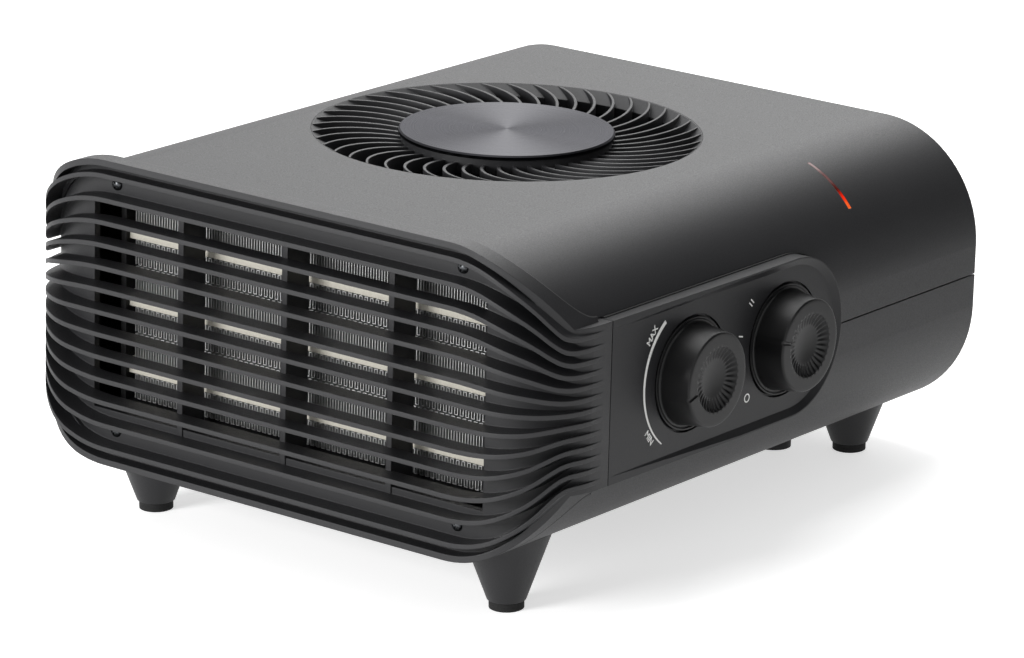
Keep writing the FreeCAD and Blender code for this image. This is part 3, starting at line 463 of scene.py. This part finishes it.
def pointer_sink(r, angle):
    """The depth of the pointer groove that crosses a knob's face ring."""
    if r < KNOB_DIMPLE_R or r > KNOB_FACE_R + MM or math.cos(angle) < 0:
        return 0.0
    side = abs(r * math.sin(angle))
    return POINTER_DEPTH if side < POINTER_W / 2 else 0.0


def knob(node, body, joint, rest):
    """A knob turned round its joint's axis, with its pointer at the angle where it rests."""
    low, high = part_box(node)
    height = high.x - low.x
    centre = Vector((low.x, *joints[joint]["pos_m"][1:]))
    verts = []
    faces = []
    for ring, (r, along) in enumerate(knob_profile(height)):
        for step in range(KNOB_STEPS):
            angle = 2 * math.pi * step / KNOB_STEPS
            sink = 0.0
            if along > height / 2:
                sink = flute_sink(r, angle) + pointer_sink(r, angle)
            verts.append(panel_place(centre, r, -angle - rest) + ACROSS * (along - sink))
            if ring:
                here = ring * KNOB_STEPS
                before = here - KNOB_STEPS
                after = (step + 1) % KNOB_STEPS
                faces.append((before + step, before + after, here + after, here + step))
    mesh = closed_mesh(node + "_lathe", verts, faces)
    mesh.shade_smooth()
    mesh.set_sharp_from_angle(angle=KNOB_SHARP)
    piece = new_piece(node + "_turned", mesh, FINISHES["knob_plastic"])
    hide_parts(node)
    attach(piece, body)


def new_tree(name, inputs):
    """A Geometry Nodes tree that takes points and the named sizes, and its group input's sockets."""
    tree = bpy.data.node_groups.new(name, "GeometryNodeTree")
    tree.interface.new_socket("Points", in_out="INPUT", socket_type="NodeSocketGeometry")
    for label in inputs:
        tree.interface.new_socket(label, in_out="INPUT", socket_type="NodeSocketFloat")
    tree.interface.new_socket("Finish", in_out="INPUT", socket_type="NodeSocketMaterial")
    tree.interface.new_socket("Mesh", in_out="OUTPUT", socket_type="NodeSocketGeometry")
    return tree, add(tree, "NodeGroupInput").outputs


def end_tree(tree, sizes, shape):
    """Sets the shape on every point, tilted about X, as one real mesh with its finish."""
    turn = add(tree, "FunctionNodeEulerToRotation", {"Euler": xyz(tree, x=sizes["Tilt"])})
    copies = add(tree, "GeometryNodeInstanceOnPoints", {
        "Points": sizes["Points"], "Instance": shape, "Rotation": turn.outputs["Rotation"]})
    real = add(tree, "GeometryNodeRealizeInstances", {"Geometry": copies.outputs["Instances"]})
    painted = add(tree, "GeometryNodeSetMaterial", {
        "Geometry": real.outputs["Geometry"], "Material": sizes["Finish"]})
    add(tree, "NodeGroupOutput", {"Mesh": painted.outputs["Geometry"]})
    return tree


def plain_mesh(maker):
    """The mesh that an object's curve or modifiers make; the object is removed."""
    mesh = bpy.data.meshes.new_from_object(maker.evaluated_get(bpy.context.evaluated_depsgraph_get()))
    maker.modifiers.clear()
    bpy.data.objects.remove(maker)
    return mesh


def grown(name, tree, places, values):
    """The plain mesh that a tree grows on these places."""
    source = bpy.data.meshes.new(name + "_places")
    source.from_pydata(places, [], [])
    seat = bpy.data.objects.new(name + "_seat", source)
    scene.collection.objects.link(seat)
    modifier = seat.modifiers.new("grow", "NODES")
    modifier.node_group = tree
    for item in tree.interface.items_tree:
        if item.in_out == "INPUT" and item.name in values:
            modifier[item.identifier] = values[item.name]
    return plain_mesh(seat)


def moved(tree, shape, offset):
    """A tree's shape, shifted by a vector."""
    return add(tree, "GeometryNodeTransform", {"Geometry": shape, "Translation": offset}).outputs["Geometry"]


def block(tree, size):
    """A box of this size about the origin, in a tree."""
    return add(tree, "GeometryNodeMeshCube", {"Size": size}).outputs["Mesh"]


def screw_tree():
    """A pan head with a cross recess on a plain shank, its head upwards and seated at zero."""
    tree, sizes = new_tree("pan_head_screws", [
        "Head Radius", "Head Height", "Recess Width", "Recess Length", "Recess Depth",
        "Shank Radius", "Shank Length", "Tilt"])
    head_r, head_h = sizes["Head Radius"], sizes["Head Height"]
    ball = add(tree, "GeometryNodeMeshUVSphere", {"Segments": 32, "Rings": 16, "Radius": 1.0})
    dome = add(tree, "GeometryNodeTransform", {
        "Geometry": ball.outputs["Mesh"], "Scale": xyz(tree, head_r, head_r, head_h)})

    # Two crossed bars cut the recess, and a block takes away the half below the seat
    bar_h = maths(tree, "MULTIPLY", sizes["Recess Depth"], 2.0)
    bars = (xyz(tree, sizes["Recess Length"], sizes["Recess Width"], bar_h),
            xyz(tree, sizes["Recess Width"], sizes["Recess Length"], bar_h))
    cutters = [moved(tree, block(tree, bar), xyz(tree, z=head_h)) for bar in bars]
    side = maths(tree, "MULTIPLY", head_r, 4.0)
    drop = maths(tree, "MULTIPLY", head_r, -2.0)
    cutters.append(moved(tree, block(tree, xyz(tree, side, side, side)), xyz(tree, z=drop)))
    head = add(tree, "GeometryNodeMeshBoolean", {"Mesh 1": dome.outputs["Geometry"]},
               operation="DIFFERENCE", solver="EXACT")
    for cutter in cutters:
        tree.links.new(cutter, head.inputs["Mesh 2"])

    rod = add(tree, "GeometryNodeMeshCylinder", {
        "Vertices": 24, "Radius": sizes["Shank Radius"], "Depth": sizes["Shank Length"]})
    half = maths(tree, "MULTIPLY", sizes["Shank Length"], -0.5)
    shank = moved(tree, rod.outputs["Mesh"], xyz(tree, z=half))
    both = add(tree, "GeometryNodeJoinGeometry")
    for part in (head.outputs["Mesh"], shank):
        tree.links.new(part, both.inputs["Geometry"])
    return end_tree(tree, sizes, both.outputs["Geometry"])


def leaned_size(node):
    """A box-shaped node's middle and its own width, depth and height before the lean."""
    low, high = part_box(node)
    spread = high - low
    tilt = abs(LEAN_TURN)
    whole = math.cos(2 * tilt)
    depth = (spread.y * math.cos(tilt) - spread.z * math.sin(tilt)) / whole
    height = (spread.z * math.cos(tilt) - spread.y * math.sin(tilt)) / whole
    return (low + high) / 2, spread.x, depth, height


def screws():
    """Screws of the grille, which face forwards, and of the case, which face down."""
    tree = screw_tree()
    for group, count, tilt in (("grille_screw", 4, math.pi / 2), ("case_screw", 2, math.pi)):
        nodes = ["%s_%d" % (group, index + 1) for index in range(count)]
        outward = -BACK if group == "grille_screw" else -UP
        places = []
        for node in nodes:
            middle, _, depth, height = leaned_size(node)
            length = depth if group == "grille_screw" else height
            places.append(middle + outward * (length / 2 - SCREW_HEAD_H))
        mesh = grown(group, tree, places, {
            "Head Radius": SCREW_HEAD_R, "Head Height": SCREW_HEAD_H, "Recess Width": RECESS_W,
            "Recess Length": RECESS_L, "Recess Depth": RECESS_DEPTH, "Shank Radius": SCREW_SHANK_R,
            "Shank Length": length - SCREW_HEAD_H, "Tilt": tilt + LEAN_TURN, "Finish": FINISHES["steel"]})
        mesh.shade_smooth()
        mesh.set_sharp_from_angle(angle=SCREW_SHARP)
        piece = new_piece(group + "s_cross_head", mesh, FINISHES["steel"])
        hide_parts(*nodes)
        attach(piece, "case")


def fin_tree():
    """A corrugated strip with upright legs: a flat grid whose columns go in pairs to bottom and top."""
    tree, sizes = new_tree("corrugated_fins", ["Depth", "Height", "Leg Spacing", "Legs", "Tilt"])
    columns = maths(tree, "MULTIPLY", sizes["Legs"], 2.0)
    sheet = add(tree, "GeometryNodeMeshGrid", {
        "Size X": 1.0, "Size Y": sizes["Depth"], "Vertices X": columns, "Vertices Y": 2})
    index = add(tree, "GeometryNodeInputIndex").outputs["Index"]
    column = maths(tree, "FLOOR", maths(tree, "MULTIPLY", index, 0.5))
    leg = maths(tree, "FLOOR", maths(tree, "MULTIPLY", column, 0.5))
    middle_leg = maths(tree, "MULTIPLY", maths(tree, "SUBTRACT", sizes["Legs"], 1.0), 0.5)
    x = maths(tree, "MULTIPLY", maths(tree, "SUBTRACT", leg, middle_leg), sizes["Leg Spacing"])
    # Columns 1 and 2 of every four are at the top
    top = maths(tree, "COMPARE", maths(tree, "MODULO", column, 4.0), 1.5, 0.6)
    z = maths(tree, "MULTIPLY", maths(tree, "SUBTRACT", top, 0.5), sizes["Height"])
    flat = add(tree, "GeometryNodeInputPosition").outputs["Position"]
    y = add(tree, "ShaderNodeSeparateXYZ", {"Vector": flat}).outputs["Y"]
    folded = add(tree, "GeometryNodeSetPosition", {
        "Geometry": sheet.outputs["Mesh"], "Position": xyz(tree, x, y, z)})
    return end_tree(tree, sizes, folded.outputs["Geometry"])


def fins():
    """Corrugated strips above and below each element bar."""
    bars = [leaned_size("heater_bar_%d" % (index + 1)) for index in range(ELEMENT_BARS)]
    middle, width, depth, bar_height = bars[0]
    strip_height = ((bars[1][0] - middle).length - bar_height) / 2
    places = []
    for bar in bars:
        for side in (-1, 1):
            places.append(bar[0] + UP * (side * (bar_height + strip_height) / 2))
    legs = 2 * int(width * FIN_WIDTH_SHARE / FIN_LEG_SPACING / 2)
    mesh = grown("heater_fins", fin_tree(), places, {
        "Depth": depth * FIN_DEPTH_SHARE, "Height": strip_height - 2 * FIN_SHEET,
        "Leg Spacing": FIN_LEG_SPACING, "Legs": float(legs), "Tilt": LEAN_TURN,
        "Finish": FINISHES["aluminium"]})
    piece = new_piece("heater_fins_corrugated", mesh, FINISHES["aluminium"])
    wall = piece.modifiers.new("sheet", "SOLIDIFY")
    wall.thickness = FIN_SHEET
    wall.offset = 0
    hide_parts("heater_fins")
    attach(piece, "case")


def on_case(name, mesh, material):
    """A piece of the scene's own that rides on the case."""
    piece = new_piece(name, mesh, material)
    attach(piece, "case")


def band_mesh(name, inner, outer, closed, half_depth):
    """A band between two rows of points, as deep across the heater as said."""
    count = len(inner)
    verts = []
    for rise in (-half_depth, half_depth):
        for row in (inner, outer):
            verts += [place + ACROSS * rise for place in row]
    faces = []
    for step in range(count if closed else count - 1):
        after = (step + 1) % count
        for a, b in ((0, 1), (2, 3), (0, 2), (1, 3)):
            faces.append((a * count + step, a * count + after, b * count + after, b * count + step))
    if not closed:
        for end in (0, count - 1):
            faces.append((end, count + end, 3 * count + end, 2 * count + end))
    return closed_mesh(name, verts, faces)


def printed_band(name, inner, outer, closed):
    """A thin band of ink between two rows of points on the control panel."""
    on_case(name, band_mesh(name, inner, outer, closed, INK_RISE), INK)


def stroke(name, centre, angle, shift):
    """A short radial stroke, shifted sideways."""
    out = panel_place(Vector(), 1, angle)
    side = out.cross(ACROSS)
    middle = centre + out * POWER_MARK_R + side * shift
    ends = [middle - out * (STROKE_L / 2), middle + out * (STROKE_L / 2)]
    half = side * (STROKE_W / 2)
    printed_band(name, [end - half for end in ends], [end + half for end in ends], False)


def word(name, text, centre, radius, angle, inward):
    """A printed word along the scale, its top outwards or, below, inwards."""
    curve = bpy.data.curves.new(name, "FONT")
    curve.body = text
    curve.size = WORD_SIZE
    curve.align_x = "CENTER"
    curve.align_y = "CENTER"
    curve.extrude = INK_RISE
    curve.offset = WORD_SWELL * WORD_SIZE
    holder = bpy.data.objects.new(name + "_text", curve)
    scene.collection.objects.link(holder)
    mesh = plain_mesh(holder)
    out = panel_place(Vector(), 1, angle)
    upward = -out if inward else out
    place = Matrix((upward.cross(ACROSS), upward, ACROSS)).transposed().to_4x4()
    place.translation = centre + out * radius
    mesh.transform(place)
    shape = bmesh.new()
    shape.from_mesh(mesh)
    bmesh.ops.remove_doubles(shape, verts=shape.verts, dist=MERGE)
    shape.to_mesh(mesh)
    shape.free()
    on_case(name, mesh, INK)


def thermostat_marks():
    """An arc that widens towards MAX."""
    centre = Vector(joints["thermostat_turn"]["pos_m"])
    inner = []
    outer = []
    for step in range(SCALE_STEPS + 1):
        along = step / SCALE_STEPS
        angle = SCALE_FROM + (SCALE_TO - SCALE_FROM) * along
        width = SCALE_END_W + (SCALE_W - SCALE_END_W) * (1 - along) ** SCALE_CURVE
        inner.append(panel_place(centre, SCALE_R - width / 2, angle))
        outer.append(panel_place(centre, SCALE_R + width / 2, angle))
    printed_band("thermostat_scale", inner, outer, False)
    word("thermostat_max", "MAX", centre, MAX_R, MAX_ANGLE, False)
    word("thermostat_min", "MIN", centre, MIN_R, MIN_ANGLE, True)


def power_marks():
    """A ring for off, one stroke for low and two for high."""
    centre = Vector(joints["power_turn"]["pos_m"])
    stroke("power_low", centre, LOW_ANGLE, 0)
    stroke("power_high_1", centre, HIGH_ANGLE, -STROKE_GAP / 2)
    stroke("power_high_2", centre, HIGH_ANGLE, STROKE_GAP / 2)
    off = panel_place(centre, POWER_MARK_R, OFF_ANGLE)
    turns = [2 * math.pi * step / OFF_STEPS for step in range(OFF_STEPS)]
    printed_band("power_off", [panel_place(off, OFF_R - STROKE_W / 2, turn) for turn in turns],
                 [panel_place(off, OFF_R + STROKE_W / 2, turn) for turn in turns], True)


def panel_shade_strip(name, x):
    """A black strip in the gap round a side panel: painted shade, which keeps the white room from showing
    through it.
    """
    middle = Vector(joints["thermostat_turn"]["pos_m"]) - UP * KNOB_LEVEL
    middle.x = x
    rows = []
    for half_h in (PANEL_HALF_H + STRIP_INSET, PANEL_HALF_H + STRIP_INSET + STRIP_H):
        row = [middle - BACK * PANEL_TO_FRONT + UP * half_h]
        for step in range(STRIP_STEPS + 1):
            turn = math.pi * step / STRIP_STEPS
            along = PANEL_TO_ROUND + half_h * math.sin(turn)
            row.append(middle + BACK * along + UP * (half_h * math.cos(turn)))
        row.append(middle - BACK * PANEL_TO_FRONT - UP * half_h)
        rows.append(row)
    # The black strip paints the shade that fills the gap round the panel.
    on_case(name, band_mesh(name, rows[0], rows[1], False, STRIP_DEPTH / 2), FINISHES["rubber"])


def panel_shade_strips():
    """Both strips reach three quarters of their depth past the panels' backs, under the covers' edges."""
    panel_shade_strip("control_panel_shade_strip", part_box("control_panel")[0].x - STRIP_DEPTH / 4)
    panel_shade_strip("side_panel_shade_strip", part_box("side_panel")[1].x + STRIP_DEPTH / 4)


def seen_directly(tree):
    """1 for camera, glossy and transmission rays, which show the white room, and 0 for the object's light."""
    path = add(tree, "ShaderNodeLightPath").outputs
    seen = maths(tree, "MAXIMUM", path["Is Camera Ray"], path["Is Glossy Ray"])
    return maths(tree, "MAXIMUM", seen, path["Is Transmission Ray"])


def sheet_piece(name, width, height, material):
    """A flat rectangle about its own middle."""
    x, y = width / 2, height / 2
    mesh = bpy.data.meshes.new(name)
    mesh.from_pydata([(-x, -y, 0), (x, -y, 0), (x, y, 0), (-x, y, 0)], [], [(0, 1, 2, 3)])
    return new_piece(name, mesh, material)


def white_room():
    """White surroundings, which light the object less than they show."""
    world = bpy.data.worlds.new("white_room")
    world.use_nodes = True
    tree = world.node_tree
    tree.nodes.clear()
    level = ramp(tree, seen_directly(tree), 0.0, 1.0, ROOM_LIGHT, ROOM_SEEN)
    sky = add(tree, "ShaderNodeBackground", {"Color": srgb("#ffffff"), "Strength": level})
    add(tree, "ShaderNodeOutputWorld", {"Surface": sky.outputs["Background"]})
    scene.world = world


def studio_floor():
    """Matt pale paper, lifted to white where it is seen but still dark in the shadow."""
    material, tree = new_material("pale_studio_floor")
    pale = add(tree, "ShaderNodeBsdfDiffuse", {"Color": srgb("#eeeeee")})
    path = add(tree, "ShaderNodeLightPath").outputs
    lift = ramp(tree, path["Is Camera Ray"], 0.0, 1.0, FLOOR_LIFT_MIRRORED, FLOOR_LIFT_SEEN)
    lift = maths(tree, "MULTIPLY", seen_directly(tree), lift)
    shine = add(tree, "ShaderNodeEmission", {"Color": srgb("#ffffff"), "Strength": lift})
    both = add(tree, "ShaderNodeAddShader", {0: pale.outputs["BSDF"], 1: shine.outputs["Emission"]})
    add(tree, "ShaderNodeOutputMaterial", {"Surface": both.outputs["Shader"]})
    return material


def black_felt():
    """Felt of the cards: it swallows nearly all light."""
    material, tree = new_material("black_felt")
    felt = add(tree, "ShaderNodeBsdfDiffuse", {"Color": srgb("#050505")})
    add(tree, "ShaderNodeOutputMaterial", {"Surface": felt.outputs["BSDF"]})
    return material


def floor():
    """The paper under the heater, a hair below its pads."""
    paper = sheet_piece("floor", FLOOR_SIDE, FLOOR_SIDE, studio_floor())
    paper.location.z = -FLOOR_DROP


def facing(place, target, axis):
    """The turn that points an object's axis from a place to a target."""
    return (Vector(target) - Vector(place)).to_track_quat(axis, "Y").to_euler()


def flag(name, felt, width, height, place, target=OBJECT_MIDDLE):
    """A black card out of the picture, which darkens only what reflects it."""
    card = sheet_piece(name, width, height, felt)
    card.location = place
    card.rotation_euler = facing(place, target, "Z")
    card.visible_camera = False
    card.visible_diffuse = False
    card.visible_shadow = False


def lamp(name, size, power, place, target=OBJECT_MIDDLE):
    """A round soft lamp."""
    light = bpy.data.lights.new(name, "AREA")
    light.shape = "DISK"
    light.size = size
    light.energy = power
    holder = bpy.data.objects.new(name, light)
    holder.location = place
    holder.rotation_euler = facing(place, target, "-Z")
    scene.collection.objects.link(holder)


def lights():
    """Soft lamps above, in front and behind; the cards darken what the right side mirrors."""
    lamp("overhead", **OVERHEAD)
    lamp("front", **FRONT)
    lamp("rear_left", **REAR_LEFT)
    felt = black_felt()
    flag("right_rear_flag", felt, **REAR_FLAG)
    flag("right_floor_flag", felt, **FLOOR_FLAG)


def camera():
    """The photograph's camera, placed from the middle between the front pads."""
    view = bpy.data.cameras.new("photo_camera")
    view.lens = CAMERA_LENS
    view.sensor_width = CAMERA_SENSOR
    view.clip_end = CAMERA_REACH
    holder = bpy.data.objects.new("photo_camera", view)
    aim = Euler((math.pi / 2 - CAMERA_ELEVATION, 0, CAMERA_AZIMUTH)).to_matrix()
    left, right = (sum(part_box(node), Vector()) / 2 for node in ("pad_front_left", "pad_front_right"))
    feet = Vector(((left.x + right.x) / 2, left.y, 0))
    turn = (aim @ Matrix.Rotation(CAMERA_ROLL, 3, "Z")).to_4x4()
    holder.matrix_world = Matrix.Translation(feet + CAMERA_FROM_FEET) @ turn
    scene.collection.objects.link(holder)
    scene.camera = holder


scene.view_settings.view_transform = "Standard"
dress_frame()
knob("thermostat_knob", "thermostat", "thermostat_turn", THERMOSTAT_REST)
knob("power_knob", "power", "power_turn", POWER_REST)
fins()
screws()
thermostat_marks()
power_marks()
panel_shade_strips()
white_room()
floor()
lights()
camera()
